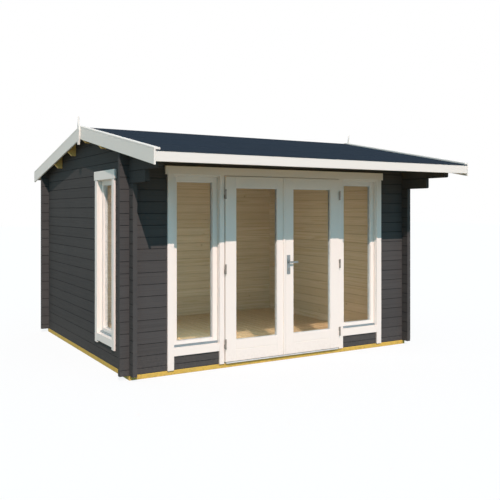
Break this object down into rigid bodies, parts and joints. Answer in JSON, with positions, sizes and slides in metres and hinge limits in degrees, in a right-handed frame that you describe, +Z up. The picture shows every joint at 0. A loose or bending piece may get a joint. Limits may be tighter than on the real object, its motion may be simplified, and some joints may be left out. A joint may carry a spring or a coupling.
{
  "type": "log cabin",
  "caption": "Garden log cabin of interlocking logs with glazed double doors, side lights, a side window and a shallow felt roof reaching over the front.",
  "frame": {"origin": "on the ground under the middle of the ridge, which is the middle of the roof in plan", "axes": "+Z up, -Y out of the front doors, +X to the right when facing the doors from outside"},
  "size_m": [3.778, 4.1896, 2.6429],
  "materials": {
    "stained_logs": "anthracite wood stain outside, bare pine inside",
    "treated_timber": "pressure treated sawn softwood",
    "bare_pine": "planed bare pine",
    "cream_joinery": "satin cream paint on softwood",
    "roof_felt": "mineral surfaced bitumen felt",
    "sill_metal": "mill finish aluminium",
    "satin_steel": "satin steel",
    "clear_glass": "clear float glass"
  },
  "bodies": {
    "cabin": {"front_wall_odd_logs": "stained_logs", "front_wall_even_logs": "stained_logs", "rear_wall_odd_logs": "stained_logs", "rear_wall_even_logs": "stained_logs", "left_wall_odd_logs": "stained_logs", "left_wall_even_logs": "stained_logs", "right_wall_odd_logs": "stained_logs", "right_wall_even_logs": "stained_logs", "foundation_beams": "treated_timber", "floor_joists": "treated_timber", "floor": "bare_pine", "purlins": "bare_pine", "front_roof_deck": "bare_pine", "rear_roof_deck": "bare_pine", "front_roof_felt": "roof_felt", "rear_roof_felt": "roof_felt", "fascia_boards": "cream_joinery", "bargeboards": "cream_joinery", "verge_strips": "cream_joinery", "finials": "cream_joinery", "door_jambs": "cream_joinery", "door_head": "cream_joinery", "door_stops": "cream_joinery", "window_jambs": "cream_joinery", "window_heads": "cream_joinery", "window_sills": "cream_joinery", "sash_stiles": "cream_joinery", "sash_rails": "cream_joinery", "casings": "cream_joinery", "header_boards": "cream_joinery", "sill_boards": "cream_joinery", "door_threshold": "sill_metal", "weather_bars": "sill_metal", "frame_hinges": "satin_steel", "window_glass": "clear_glass"},
    "left_door": {"left_door_stiles": "cream_joinery", "left_door_rails": "cream_joinery", "left_door_glass": "clear_glass", "left_door_hinges": "satin_steel", "meeting_cover": "cream_joinery"},
    "right_door": {"right_door_stiles": "cream_joinery", "right_door_rails": "cream_joinery", "right_door_glass": "clear_glass", "right_door_hinges": "satin_steel", "handle_plates": "satin_steel"},
    "door_lever": {"lever_spindle": "satin_steel", "lever_grips": "satin_steel"}
  },
  "joints": [
    {"name": "left_door_hinge", "type": "hinge", "parent": "cabin", "child": "left_door", "pos_m": [-0.735, -1.2565, 1], "axis": [0, 0, -1], "range_deg": [0, 160]},
    {"name": "right_door_hinge", "type": "hinge", "parent": "cabin", "child": "right_door", "pos_m": [0.735, -1.2565, 1], "axis": [0, 0, 1], "range_deg": [0, 160]},
    {"name": "lever_turn", "type": "hinge", "parent": "right_door", "child": "door_lever", "pos_m": [0.04, -1.2462, 1.056], "axis": [0, 1, 0], "range_deg": [0, 40], "stiffness_Nm_per_rad": 1.5, "springref_deg": -20.05}
  ]
}
